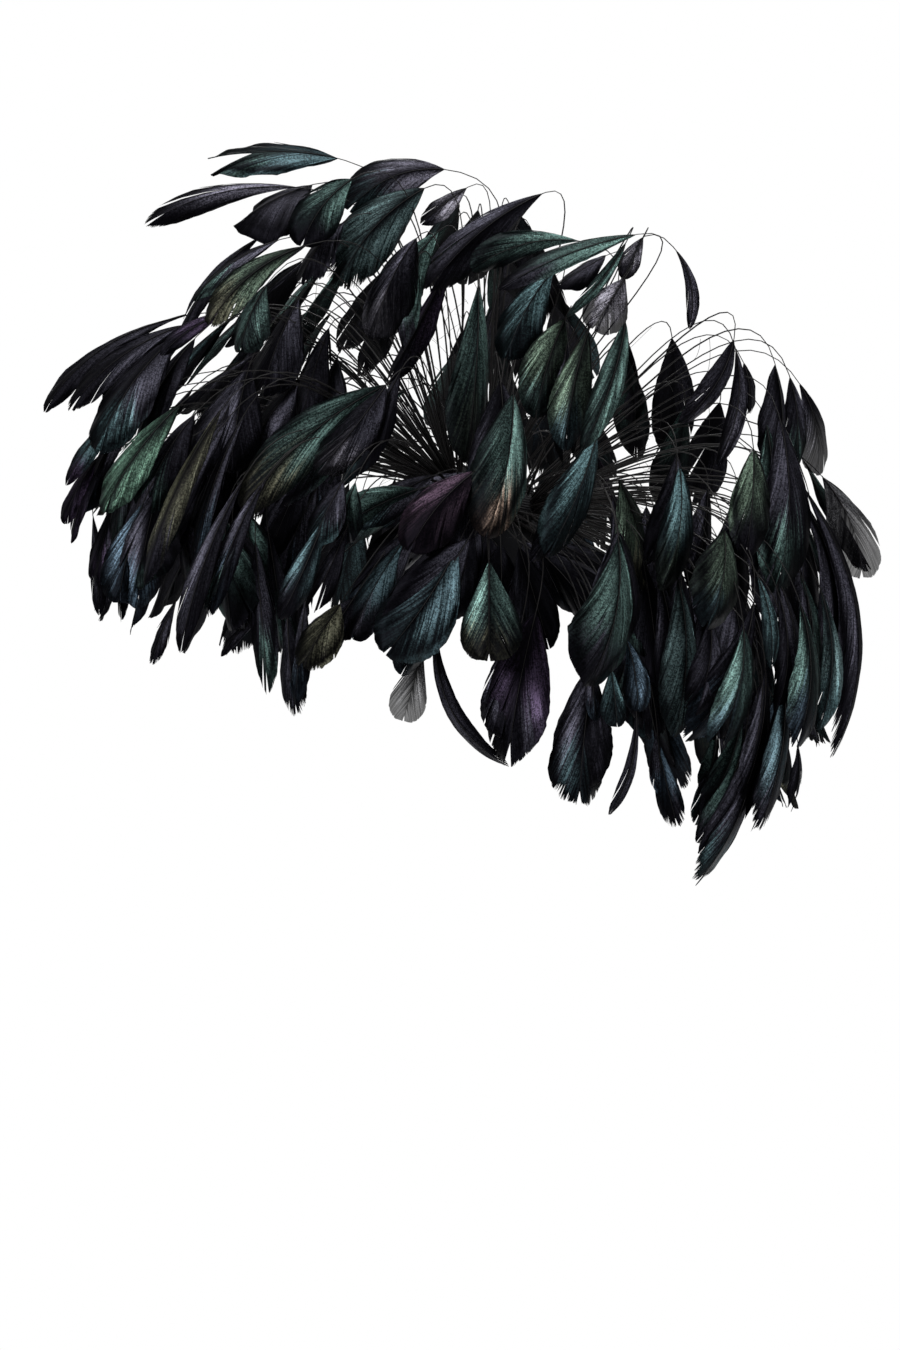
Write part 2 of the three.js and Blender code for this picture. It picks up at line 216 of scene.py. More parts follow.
bmesh.ops.translate(dome, verts=dome.verts[:], vec=(0, 0, -DOME_RADIUS))
bmesh.ops.transform(dome, verts=dome.verts[:], matrix=SEAT_TURN)
felt_base = finished_object("felt_base", dome, [felt])
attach(felt_base, "root")
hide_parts("base")

# Comb
# A plain moulded comb of black plastic under the front of the base. Its spine is sewn to the
# felt and its teeth point back into the hair.
COMB_WIDTH = 42 * MM
COMB_DEEP = 4.5 * MM
COMB_HIGH = 2.6 * MM
COMB_ROUNDING = 0.8 * MM
COMB_SETBACK = 24 * MM
COMB_GAP = 0.3 * MM
TOOTH_COUNT = 9
TOOTH_LENGTH = 30 * MM
TOOTH_FOOT = 1.0 * MM
TOOTH_TIP = 0.5 * MM
TOOTH_SIDES = 12
TOOTH_END = TOOTH_LENGTH * 0.9
TOOTH_ROUNDING = TOOTH_TIP * 0.7

COMB_DARK = (0.008, 0.008, 0.009, 1)
COMB_PALE = (0.02, 0.02, 0.021, 1)
COMB_HAZE = 160
COMB_GRAIN = 1500
COMB_GRAIN_DEPTH = 0.1 * MM
comb_plastic, start = new_finish("comb_plastic")
place = start.node("TexCoord", {}, {}, "Object")
haze = place.noise(COMB_HAZE, 4)
grain = place.noise(COMB_GRAIN, 2)
close_finish(start, {
    "Base Color": haze.mix(COMB_DARK, COMB_PALE),
    "Roughness": 0.25 + 0.25 * haze,
    "Normal": grain.bump(0.1, COMB_GRAIN_DEPTH),
})

comb = bmesh.new()
bmesh.ops.create_cube(comb, size=1, matrix=Matrix.Diagonal((COMB_WIDTH, COMB_DEEP, COMB_HIGH, 1)))
round_edges(comb, comb.edges[:], COMB_ROUNDING)
pitch = (COMB_WIDTH - 2 * TOOTH_FOOT) / TOOTH_COUNT
lay_back = Matrix.Rotation(math.radians(-90), 4, "X")
for i in range(TOOTH_COUNT):
    across = (i - (TOOTH_COUNT - 1) / 2) * pitch
    tooth_place = Matrix.Translation((across, TOOTH_LENGTH / 2, 0)) @ lay_back
    tooth = bmesh.ops.create_cone(
        comb, cap_ends=True, segments=TOOTH_SIDES, radius1=TOOTH_FOOT, radius2=TOOTH_TIP,
        depth=TOOTH_LENGTH, matrix=tooth_place,
    )
    tip_edges = [
        edge for edge in {e for v in tooth["verts"] for e in v.link_edges}
        if all(v.co.y > TOOTH_END for v in edge.verts)
    ]
    round_edges(comb, tip_edges, TOOTH_ROUNDING)
comb_corner = math.hypot(COMB_WIDTH / 2, COMB_SETBACK + COMB_DEEP / 2)
comb_drop = DOME_RADIUS - math.sqrt(DOME_RADIUS**2 - comb_corner**2)
comb_level = -comb_drop - COMB_GAP - COMB_HIGH / 2
bmesh.ops.translate(comb, verts=comb.verts[:], vec=(0, -COMB_SETBACK, comb_level))
bmesh.ops.transform(comb, verts=comb.verts[:], matrix=SEAT_TURN)
hair_comb = finished_object("hair_comb", comb, [comb_plastic])
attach(hair_comb, "root")
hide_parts("comb")

# Feathers
# Stripped cock feathers: each is a bare black quill that arches out of its bunch and ends in one
# narrow vane. The barbs of a vane lean to its tip, part here and there and shine over black.
UP = Vector((0, 0, 1))
FRONT = Vector((0, -1, 0))
GOLDEN = (math.sqrt(5) - 1) / 2

# The bunches are bound in knots that stand in a ring, each with a sixth of the circle to itself
KNOT_RADIUS = 6.6 * MM
KNOT_RING_RADIUS = 15 * MM
KNOT_GAP = 0.3 * MM
SECTOR_HALF_ANGLE = math.radians(30)

# Width of a quill at its knot, how much steeper it starts than its root lies, the share of it that
# keeps its first and last direction, the lesser share where a steep quill turns back into its vane,
# and from which rise and turn that holds
QUILL_FOOT = 1.8 * MM
QUILL_LIFT = 0.35
QUILL_REACH = 0.4
STEEP_REACH = 0.22
STEEP_RISE = (0.5, 0.8)
TURN_BACK = 0.4

# Height of a vane's ridge, how far it arches, rolls about its shaft and leans out at its tip, how
# far a charted one turns to the front and how narrow it may look there, and the room that it keeps
# from the next bunch at its middle and tip, in half widths
VANE_RIDGE = 1.6 * MM
VANE_ARCH = 0.06
VANE_ROLL = math.radians(24)
TIP_LEAN = 0.22
VIEW_FACING = 1.1
LEAST_SEEN = 0.72
MIDDLE_ROOM = 1.6
TIP_ROOM = 0.8

# Feathers of a tier: length, how far they hang outwards, and how much they vary
TIER_LENGTH = 60 * MM
TIER_FLARE = 0.45
TIER_TURN = math.radians(9)
TIER_SPREAD = 0.3

# Colour that a vane throws back where it catches the light
SHEENS = {
    "coal": (0.012, 0.012, 0.016),
    "black": (0.047, 0.046, 0.061),
    "green": (0.125, 0.212, 0.192),
    "bright_green": (0.155, 0.282, 0.208),
    "moss": (0.122, 0.174, 0.130),
    "dark_teal": (0.072, 0.120, 0.134),
    "teal": (0.120, 0.210, 0.226),
    "slate_teal": (0.090, 0.146, 0.168),
    "bright_teal": (0.175, 0.272, 0.276),
    "blue": (0.092, 0.138, 0.184),
    "violet": (0.078, 0.056, 0.100),
    "slate": (0.130, 0.125, 0.160),
    "plum": (0.056, 0.036, 0.054),
    "olive": (0.205, 0.205, 0.142),
    "bronze": (0.310, 0.225, 0.175),
    "smoke": (0.240, 0.230, 0.270),
    "grey": (0.170, 0.170, 0.180),
}
# How far a vane of these sheens lets the light through
SHEER = {"grey": 1, "smoke": 0.6}
TIER_SHEENS = ["green", "black", "teal", "black", "green-olive", "blue", "black", "teal-black", "violet"]
TIER_CUTS = ["whole", "notched", "frayed", "whole", "blunt", "forked"]

# One bunch for each sixth of the circle, its middle counted in degrees from the front towards +X.
# charted: root x and y, tip x and y, width, depth in mm, bow, sheen at the root and tip, cut,
#          and how many mates lie behind it
# collar:  short dark feathers that hide the base, in the same columns
# tiers:   elevation of the roots, first and last azimuth in degrees, count, width and reach in mm
BUNCHES = [
    {
        "name": "front_spray",
        "azimuth": 5,
        "charted": [
            (478, 290, 465, 468, 43, 75, 0.05, "green-moss", "whole", 0),
            (553, 275, 505, 365, 50, 74, -0.1, "teal", "round", 0),
            (563, 325, 534, 424, 45, 86, -0.08, "moss-green", "whole", 0),
            (586, 338, 563, 456, 38, 95, -0.08, "moss-dark_teal", "whole", 1),
            (622, 329, 578, 456, 30, 104, 0.08, "green", "whole", 0),
            (512, 399, 485, 541, 55, 112, 0.1, "green-bronze", "round", 1),
            (476, 475, 410, 555, 58, 118, -0.12, "plum", "round", 1),
            (594, 440, 543, 561, 40, 101, 0.06, "teal", "notched", 1),
            (457, 550, 386, 655, 70, 120, 0.08, "slate_teal-dark_teal", "round", 1),
            (488, 563, 488, 662, 60, 124, 0, "green-olive", "blunt", 0),
            (424, 650, 404, 720, 38, 104, 0, "grey", "blunt", 0),
            (436, 630, 508, 764, 17, 108, -0.3, "black", "whole", 0),
            (534, 614, 506, 764, 58, 114, -0.05, "violet-black", "notched", 1),
            (614, 540, 582, 687, 60, 122, 0.16, "green-black", "whole", 1),
            (590, 670, 576, 803, 60, 108, -0.05, "black-dark_teal", "frayed", 1),
            (607, 667, 613, 726, 25, 122, 0, "teal", "round", 1),
            (621, 637, 633, 711, 26, 118, 0.08, "blue", "round", 1),
            (542, 199, 428, 297, 38, 62, -0.1, "black", "notched", 0),
            (578, 248, 471, 277, 36, 78, -0.16, "green", "round", 0),
            (633, 243, 497, 298, 22, 98, -0.06, "green-black", "whole", 0),
            (623, 250, 564, 325, 13, 94, 0.1, "green", "whole", 0),
            (603, 263, 554, 294, 26, 86, 0, "black", "notched", 0),
            (622, 285, 590, 337, 44, 98, 0, "smoke", "blunt", 0),
            (632, 705, 605, 812, 12, 104, 0.15, "black", "whole", 0),
        ],
        "collar": [
            (535, 550, 598, 632, 46, 66, 0.1, "coal", "notched", 1),
            (518, 548, 548, 650, 44, 76, 0, "coal", "whole", 1),
            (500, 545, 502, 640, 48, 64, 0, "coal-black", "notched", 1),
            (474, 535, 438, 622, 46, 70, 0, "coal", "notched", 1),
            (452, 580, 402, 676, 40, 108, 0, "black-dark_teal", "whole", 0),
            (440, 540, 396, 628, 42, 92, 0, "coal", "whole", 0),
        ],
        "tiers": [],
    },
    {
        "name": "right_front_spray",
        "azimuth": 65,
        "charted": [
            (617, 482, 644, 593, 46, 60, 0.08, "moss-olive", "whole", 1),
            (676, 469, 658, 593, 38, 78, 0.1, "teal-moss", "whole", 1),
            (674, 578, 669, 736, 36, 80, 0.1, "bright_teal", "whole", 2),
            (749, 453, 740, 561, 46, 76, 0, "moss-black", "whole", 0),
            (776, 420, 770, 597, 46, 56, 0.08, "black-green", "notched", 1),
            (719, 532, 700, 630, 46, 92, 0.12, "moss-dark_teal", "whole", 0),
            (821, 477, 860, 579, 44, 16, 0.12, "grey", "blunt", 0),
            (804, 492, 828, 759, 30, 24, 0.24, "black", "frayed", 1),
            (738, 628, 704, 750, 38, 98, 0.14, "green-slate_teal", "forked", 2),
            (752, 577, 764, 669, 18, 90, 0.1, "teal", "whole", 0),
            (794, 603, 788, 747, 32, 82, 0.14, "green-blue", "notched", 2),
            (815, 588, 812, 729, 24, 62, 0.14, "bright_teal-teal", "whole", 2),
            (779, 675, 752, 828, 30, 86, 0.08, "slate_teal-black", "frayed", 2),
            (794, 744, 786, 810, 15, 60, 0.08, "black", "forked", 1),
            (653, 735, 674, 825, 26, 76, -0.04, "blue-black", "frayed", 1),
            (752, 750, 689, 882, 28, 86, 0.1, "black-teal", "frayed", 1),
            (740, 740, 692, 840, 26, 74, 0.06, "green-black", "whole", 1),
            (725, 745, 705, 822, 22, 66, 0.04, "black", "notched", 2),
            (773, 367, 776, 480, 34, 36, 0.04, "black", "whole", 0),
            (799, 385, 815, 476, 32, 14, 0.12, "black-smoke", "round", 0),
            (731, 343, 676, 427, 25, 52, 0.16, "black-slate", "whole", 0),
            (733, 352, 714, 468, 22, 46, 0.14, "black-slate", "whole", 0),
            (742, 365, 745, 416, 22, 30, 0.1, "black", "frayed", 0),
            (641, 243, 620, 284, 22, 60, 0, "smoke-black", "whole", 0),
            (672, 253, 686, 334, 13, 56, 0.2, "black-slate", "whole", 0),
            (760, 480, 775, 640, 46, 34, 0, "black", "notched", 1),
            (700, 600, 715, 740, 50, 62, 0, "black", "notched", 2),
            (640, 600, 650, 740, 45, 48, 0, "black", "notched", 2),
            (775, 690, 742, 800, 36, 60, 0.06, "blue-black", "frayed", 2),
            (788, 378, 792, 470, 28, 26, 0.06, "black-green", "whole", 0),
            (655, 520, 665, 640, 40, 52, 0, "black", "notched", 1),
            (722, 560, 742, 690, 44, 60, 0, "black", "notched", 2),
            (792, 500, 802, 640, 40, 22, 0, "black", "notched", 0),
        ],
        "collar": [
            (545, 540, 640, 600, 42, 30, 0.12, "coal", "notched", 0),
            (640, 560, 656, 690, 40, 66, 0, "coal", "notched", 1),
            (706, 490, 690, 590, 32, 44, 0, "black", "whole", 0),
        ],
        "tiers": [(-4, 81, 91, 2, 19, 122), (-20, 80, 90, 2, 19, 122), (-34, 78, 88, 2, 18, 122)],
    },
    {
        "name": "right_back_spray",
        "azimuth": 125,
        "charted": [
            (674, 335, 670, 455, 46, -42, 0, "black", "whole", 1),
            (630, 341, 635, 422, 28, -34, 0, "black", "whole", 0),
            (722, 400, 690, 505, 46, -34, 0, "black", "notched", 1),
            (838, 560, 850, 700, 34, -34, 0.08, "black", "frayed", 1),
        ],
        "collar": [],
        "tiers": [
            (12, 103, 103, 1, 17, 138),
            (-9, 100, 112, 3, 18, 132),
            (-19, 105, 150, 6, 18, 132),
            (-31, 100, 138, 5, 17, 120),
        ],
    },
    {
        "name": "back_spray",
        "azimuth": 185,
        "charted": [],
        "collar": [],
        "tiers": [
            (74, 168, 204, 3, 17, 138),
            (60, 164, 176, 2, 17, 138),
            (44, 163, 178, 3, 18, 138),
            (28, 162, 177, 3, 19, 138),
            (14, 161, 178, 3, 19, 138),
            (6, 165, 210, 8, 18, 138),
            (22, 205, 211, 2, 18, 138),
            (36, 183, 186, 2, 17, 138),
            (52, 204, 209, 2, 17, 138),
        ],
    },
    {
        "name": "left_back_spray",
        "azimuth": 245,
        "charted": [],
        "collar": [],
        "tiers": [
            (55, 232, 262, 3, 17, 138),
            (38, 226, 269, 5, 18, 138),
            (20, 221, 270, 6, 18, 138),
            (4, 221, 270, 6, 19, 138),
            (-2, 224, 252, 3, 18, 110),
        ],
    },
    {
        "name": "left_front_spray",
        "azimuth": 305,
        "charted": [
            (425, 191, 338, 290, 58, 30, -0.12, "bright_teal", "frayed", 0),
            (417, 243, 376, 342, 46, 55, -0.1, "black-smoke", "round", 1),
            (439, 234, 386, 334, 44, 38, -0.1, "green-black", "notched", 0),
            (450, 265, 387, 386, 22, 30, 0.06, "violet-black", "whole", 0),
            (467, 189, 421, 226, 22, 15, 0, "smoke-black", "whole", 0),
            (387, 388, 247, 514, 55, 60, -0.1, "green-olive", "round", 1),
            (387, 389, 317, 477, 40, 70, 0.08, "black-smoke", "notched", 1),
            (419, 491, 328, 540, 40, 50, -0.08, "green-black", "whole", 1),
            (405, 542, 353, 640, 40, 72, -0.06, "slate_teal-black", "round", 1),
            (345, 484, 314, 550, 36, 94, 0, "black-teal", "whole", 1),
            (327, 522, 283, 621, 26, 98, 0.06, "dark_teal-black", "whole", 1),
            (342, 605, 303, 668, 36, 88, 0, "olive", "frayed", 1),
            (290, 616, 300, 715, 24, 80, 0, "black", "frayed", 1),
            (258, 542, 271, 694, 27, 76, 0.05, "black-green", "notched", 1),
            (229, 522, 236, 633, 46, 70, 0, "green-black", "notched", 2),
            (248, 480, 186, 654, 22, 86, -0.05, "black", "whole", 2),
            (225, 414, 150, 587, 24, 82, -0.05, "olive-black", "whole", 2),
            (185, 408, 110, 516, 43, 78, -0.06, "bright_green", "round", 1),
            (147, 504, 123, 604, 50, 58, 0, "blue", "round", 2),
            (181, 338, 101, 457, 45, 58, -0.08, "black-teal", "notched", 1),
            (184, 328, 73, 414, 34, 38, -0.12, "black", "notched", 1),
            (188, 317, 47, 414, 27, 24, -0.18, "black", "whole", 0),
            (103, 457, 68, 526, 20, 42, -0.06, "violet", "whole", 1),
            (95, 515, 102, 616, 17, 32, 0.08, "black", "whole", 2),
            (182, 515, 207, 606, 32, 42, 0, "black-green", "notched", 1),
            (180, 599, 155, 665, 15, 56, 0, "black", "frayed", 0),
            (235, 315, 165, 360, 17, 62, -0.1, "violet-black", "whole", 0),
            (270, 289, 243, 358, 40, 72, -0.06, "green", "blunt", 0),
            (304, 252, 212, 333, 32, 66, -0.14, "moss-olive", "notched", 0),
            (280, 244, 196, 305, 20, 46, -0.1, "black-green", "whole", 0),
            (262, 239, 183, 338, 17, 32, -0.1, "black", "whole", 0),
            (300, 190, 146, 230, 27, 28, -0.12, "slate-black", "notched", 0),
            (313, 187, 235, 230, 58, 24, -0.04, "black", "whole", 0),
            (353, 183, 303, 251, 46, 42, -0.12, "green-black", "round", 0),
            (445, 171, 349, 213, 48, 16, -0.2, "slate-teal", "round", 0),
            (300, 300, 262, 400, 42, 38, 0, "black", "notched", 1),
            (330, 330, 300, 440, 38, 34, 0, "black", "notched", 1),
            (300, 380, 235, 480, 45, 38, 0, "black", "notched", 1),
            (250, 370, 205, 480, 45, 44, 0, "black", "notched", 1),
            (330, 430, 270, 560, 45, 44, 0, "black", "notched", 1),
            (215, 430, 190, 560, 45, 32, 0, "black", "notched", 1),
            (300, 500, 262, 600, 42, 46, 0, "black", "notched", 1),
            (270, 610, 224, 657, 11, 64, -0.12, "black", "whole", 0),
            (338, 159, 206, 166, 36, 8, -0.08, "dark_teal-green", "forked", 0),
            (128, 415, 70, 488, 18, 46, -0.1, "teal-violet", "whole", 1),
            (118, 440, 75, 545, 20, 40, -0.08, "black-violet", "whole", 1),
        ],
        "collar": [
            (455, 500, 352, 522, 36, 34, -0.1, "black-teal", "whole", 1),
            (458, 520, 372, 580, 44, 40, -0.1, "coal", "notched", 1),
            (345, 225, 300, 288, 34, 36, -0.1, "black", "frayed", 0),
            (120, 496, 98, 588, 26, 34, 0, "black-violet", "notched", 1),
            (150, 476, 130, 572, 30, 46, 0, "black", "notched", 0),
        ],
        "tiers": [(12, 279, 288, 2, 18, 124)],
    },
]


def heading(azimuth):
    """Level direction of an azimuth counted from the front towards +X."""
    return Vector((math.sin(azimuth), -math.cos(azimuth), 0))


def sector_walls(azimuth):
    """Inward normals of the two upright planes that bound a bunch's sixth of the circle."""
    quarter = math.pi / 2
    return [
        heading(azimuth - SECTOR_HALF_ANGLE + quarter),
        heading(azimuth + SECTOR_HALF_ANGLE - quarter),
    ]


def keep_inside(point, walls, margin):
    """Slides a point to or from the front until it lies inside both walls."""
    for wall in walls:
        overshoot = margin - wall.dot(point)
        if overshoot > 0:
            point.y += overshoot / wall.y


def variation(index):
    """Share from -0.5 to 0.5 that is spread evenly over neighbouring rows."""
    return (index * GOLDEN) % 1 - 0.5


def charted_feather(root_x, root_y, tip_x, tip_y, width, depth, bow, sheen, cut, mates):
    """A feather from a row of the chart, its tip a little further out than its root."""
    root = from_chart(root_x, root_y, depth * MM)
    tip = from_chart(tip_x, tip_y, depth * MM)
    side = math.copysign(1, depth)
    tip.y -= side * TIP_LEAN * (root - tip).length
    to_front = FRONT * side * VIEW_FACING
    return {
        "root": root, "tip": tip, "width": width * CHART_UNIT, "bow": bow, "to_front": to_front,
        "sheen": sheen, "cut": cut, "mates": mates,
    }


def tier_feathers(elevation, first, last, count, width, reach):
    """A row of feathers that hang side by side from roots at one height and reach."""
    feathers = []
    for i in range(count):
        share = i / (count - 1) if count > 1 else 0
        vary = variation(i + 1 + count)
        outward = heading(math.radians(first + (last - first) * share))
        slope = math.radians(elevation) + TIER_TURN * vary
        root = (outward * math.cos(slope) + UP * math.sin(slope)) * reach * MM
        fall = outward * (TIER_FLARE + max(0, math.sin(slope))) - UP
        tip = root + fall.normalized() * TIER_LENGTH * (1 + TIER_SPREAD * vary)
        pick = i + count + elevation
        feathers.append({
            "root": root, "tip": tip, "width": width * MM * (1 - TIER_SPREAD * vary), "bow": 0,
            "to_front": Vector(),
            "sheen": TIER_SHEENS[pick % len(TIER_SHEENS)], "cut": TIER_CUTS[pick % len(TIER_CUTS)],
            "mates": (i + count) % 2,
        })
    return feathers


MATE_DEPTH = (5 * MM, 13 * MM)
MATE_SHIFT = 4 * MM
MATE_SHORTENING = (0, 0.15)
MATE_WIDTH = (0.7, 1.05)
MATE_SHEENS = ["black", "black", "black-green", "black-teal", "black-blue", "green-black"]
MATE_CUTS = ["whole", "whole", "notched", "forked"]


def mate_of(feather, draw):
    """A darker feather that lies close behind another and thickens the bunch."""
    root, tip = feather["root"], feather["tip"]
    inward = -root.lerp(tip, 0.5).normalized() * draw.uniform(*MATE_DEPTH)
    new_root = root + inward + Vector(draw.normal(0, MATE_SHIFT, 3))
    new_tip = tip + inward + Vector(draw.normal(0, MATE_SHIFT, 3))
    return {
        **feather,
        "root": new_root, "tip": new_tip.lerp(new_root, draw.uniform(*MATE_SHORTENING)),
        "width": feather["width"] * draw.uniform(*MATE_WIDTH),
        "sheen": MATE_SHEENS[draw.integers(len(MATE_SHEENS))],
        "cut": MATE_CUTS[draw.integers(len(MATE_CUTS))],
    }


def bunch_feathers(bunch, draw):
    """All feathers of a bunch: charted ones, tiers, its collar and the mates behind them."""
    feathers = [charted_feather(*row) for row in bunch["charted"]]
    for tier in bunch["tiers"]:
        feathers += tier_feathers(*tier)
    feathers += [charted_feather(*row) for row in bunch["collar"]]
    return feathers + [mate_of(feather, draw) for feather in feathers for _ in range(feather["mates"])]


def face_and_half_width(feather, index):
    """A vane faces outwards and a little to the front, turned about its shaft from row to row."""
    root, tip = feather["root"], feather["tip"]
    outward = root.lerp(tip, 0.5).normalized()
    along = (tip - root).normalized()
    face = (outward + feather["to_front"]).normalized()
    face.rotate(Matrix.Rotation(2 * variation(index) * VANE_ROLL, 3, along))
    face = (face - along * face.dot(along)).normalized()
    seen = max(abs(face.dot(FRONT)), LEAST_SEEN) if feather["to_front"].length > 0 else 1
    return face, feather["width"] / seen / 2


def feather_curves(feather, half_width, knot, walls):
    """Control points of the quill and of the vane, which meet at the root with one direction."""
    root, tip = feather["root"].copy(), feather["tip"].copy()
    keep_inside(root, walls, QUILL_FOOT / 2 + KNOT_GAP)
    keep_inside(tip, walls, TIP_ROOM * half_width + VANE_RIDGE)
    length = (tip - root).length
    sideways = Vector((root.z - tip.z, 0, tip.x - root.x))
    middle = root.lerp(tip, 0.5)
    middle += middle.normalized() * VANE_ARCH * length + sideways * feather["bow"]
    keep_inside(middle, walls, MIDDLE_ROOM * half_width + VANE_RIDGE)
    rise = root - knot
    after_knot = knot + (rise.normalized() + UP * QUILL_LIFT).normalized() * QUILL_REACH * rise.length
    entry = (middle - root).normalized()
    steep = np.interp(rise.normalized().z, STEEP_RISE, (0, 1))
    turn = np.interp(-entry.dot(rise.normalized()), (0, TURN_BACK), (0, 1))
    hook = QUILL_REACH + (STEEP_REACH - QUILL_REACH) * steep * turn
    before_root = root - entry * hook * rise.length
    return [knot, after_knot, before_root, root], [root, middle, tip]


def knot_centre(azimuth):
    """Middle of a bunch's knot, which rests on the dome."""
    dome_centre = SEAT_TURN @ Vector((0, 0, -DOME_RADIUS))
    centre = heading(azimuth) * KNOT_RING_RADIUS
    distance = DOME_RADIUS + BASE_WALL + KNOT_GAP + KNOT_RADIUS
    aside = (centre.xy - dome_centre.xy).length
    centre.z = dome_centre.z + math.sqrt(distance**2 - aside**2)
    return centre


def bezier(controls, shares):
    """Points and directions of a Bezier curve of two or three spans at these shares of it."""
    controls = np.array(controls)
    order = len(controls) - 1
    shares = shares[:, None]
    points = sum(
        math.comb(order, i) * shares**i * (1 - shares) ** (order - i) * controls[i]
        for i in range(order + 1)
    )
    slopes = sum(
        order * math.comb(order - 1, i) * shares**i * (1 - shares) ** (order - 1 - i)
        * (controls[i + 1] - controls[i])
        for i in range(order)
    )
    return points, slopes / np.linalg.norm(slopes, axis=1)[:, None]


QUILL_STEPS = 16
VANE_STEPS = 14


def feather_path(quill, vane, face):
    """Stations from knot to tip: place, direction, face normal and sideways direction of each."""
    quill_points, quill_along = bezier(quill, np.linspace(0, 1, QUILL_STEPS, endpoint=False))
    vane_points, vane_along = bezier(vane, np.linspace(0, 1, VANE_STEPS + 1))
    place = np.vstack([quill_points, vane_points])
    along = np.vstack([quill_along, vane_along])
    normal = np.empty_like(along)
    facing = np.array(face)
    for i in reversed(range(len(along))):
        facing = facing - along[i] * facing.dot(along[i])
        facing /= np.linalg.norm(facing)
        normal[i] = facing
    return {"place": place, "along": along, "normal": normal, "across": np.cross(along, normal)}


def blank_arrays(blank, finish_of):
    """Vertices and faces of a bmesh as arrays, with a finish for each face."""
    blank.verts.ensure_lookup_table()
    blank.verts.index_update()
    return {
        "co": np.array([vert.co[:] for vert in blank.verts]),
        "corners": np.array([vert.index for face in blank.faces for vert in face.verts]),
        "sizes": np.array([len(face.verts) for face in blank.faces]),
        "finish": np.array([finish_of(face) for face in blank.faces]),
    }


BARB_ROWS = 32
BARB_COLUMNS = 8
CLOSE = 1e-4
LEAST_FLAT = 0.5
BLANK_SEED = 6
FACE_FINISH, UNDERSIDE_FINISH, QUILL_FINISH, THREAD_FINISH = range(4)

# How a vane is cut: partings between its barbs, how far they open in mm, half width of the tip
# where the last barbs end, share of the vane that the shaft reaches, how far it is frayed, how
# far its widest place lies to the tip, and how blunt its end is
CUT_COLUMNS = ("partings", "gap", "tip", "shaft", "fray", "bulge", "bluntness")
CUT_ROWS = {
    "whole": (1, (0, 0.2), 0.03, 0.86, 0.1, 1, 0),
    "notched": (2, (0.1, 0.6), 0.1, 0.84, 0.3, 1, 0),
    "round": (1, (0, 0.2), 0.04, 0.9, 0.12, 1.15, 0.3),
    "frayed": (2, (0.1, 0.3), 0.1, 0.88, 1, 1.1, 0.3),
    "forked": (1, (0.1, 0.5), 0.45, 0.62, 0.05, 1, 0),
    "blunt": (1, (0, 0.2), 0.06, 0.92, 0.2, 1.4, 0.45),
}
CUTS = {name: dict(zip(CUT_COLUMNS, row)) for name, row in CUT_ROWS.items()}
CUT_VARIANTS = 4
PARTING_ROWS = (0.3, 0.96)
PARTING_COLUMNS = (1, 3)


def vane_blank(partings, draw):
    """Flat closed vane, -1 to 1 across and along, with its barbs parted at some rows.

    slip is how far a vertex beside a parting moves away from it, as a share of the gap, and
    lock counts the partings below a vertex.
    """
    blank = bmesh.new()
    bmesh.ops.create_grid(blank, x_segments=BARB_COLUMNS, y_segments=BARB_ROWS, size=1)
    rows = {}
    for _ in range(partings):
        height = 2 * round(draw.uniform(*PARTING_ROWS) * BARB_ROWS) / BARB_ROWS - 1
        side = int(draw.choice([-1, 1]))
        inner = 2 * draw.integers(*PARTING_COLUMNS, endpoint=True) / BARB_COLUMNS
        rows[round(height, 4), side] = inner
        edges = [
            edge for edge in blank.edges
            if all(abs(v.co.y - height) < CLOSE and v.co.x * side > inner - CLOSE for v in edge.verts)
        ]
        bmesh.ops.split_edges(blank, edges=edges)
    bmesh.ops.solidify(blank, geom=blank.faces[:], thickness=1)
    bmesh.ops.recalc_face_normals(blank, faces=blank.faces[:])
    arrays = blank_arrays(
        blank, lambda face: FACE_FINISH if face.normal.z > LEAST_FLAT else UNDERSIDE_FINISH
    )
    slip = np.zeros(len(blank.verts))
    lock = np.zeros(len(blank.verts), int)
    for vert in blank.verts:
        flat = [face for face in vert.link_faces if abs(face.normal.z) > LEAST_FLAT]
        rise = sum(face.calc_center_median().y - vert.co.y for face in flat)
        x, y = vert.co.x, vert.co.y
        inner = rows.get((round(y, 4), 1 if x > 0 else -1))
        middle = y + math.copysign(CLOSE, rise)
        lock[vert.index] = sum(height < middle and side * x > 0 for height, side in rows)
        if inner is not None and abs(x) > inner + CLOSE:
            slip[vert.index] = math.copysign((abs(x) - inner) / (1 - inner), rise)
    blank.free()
    heights = arrays["co"][:, 2]
    arrays["row"] = (arrays["co"][:, 1] + 1) / 2
    arrays["across"] = arrays["co"][:, 0]
    arrays["under"] = (heights.max() - heights) / np.ptp(heights)
    arrays["lock"] = lock
    arrays["slip"] = slip
    arrays["uv"] = np.column_stack([arrays["row"], arrays["across"]])
    return arrays


SHAFT_SIDES = 4


def rod_blank(sections):
    """Closed four-sided rod, parted into sections along its length."""
    blank = bmesh.new()
    bmesh.ops.create_cone(blank, cap_ends=True, segments=SHAFT_SIDES, radius1=1, radius2=1, depth=2)
    lengthwise = [edge for edge in blank.edges if abs(edge.verts[0].co.z - edge.verts[1].co.z) > 1]
    bmesh.ops.subdivide_edges(blank, edges=lengthwise, cuts=sections - 1)
    arrays = blank_arrays(blank, lambda face: QUILL_FINISH)
    blank.free()
    arrays["share"] = (arrays["co"][:, 2] + 1) / 2
    arrays["uv"] = np.column_stack([arrays["share"], np.zeros(len(arrays["share"]))])
    return arrays


KNOT_SIDES = 20
KNOT_RINGS = 14


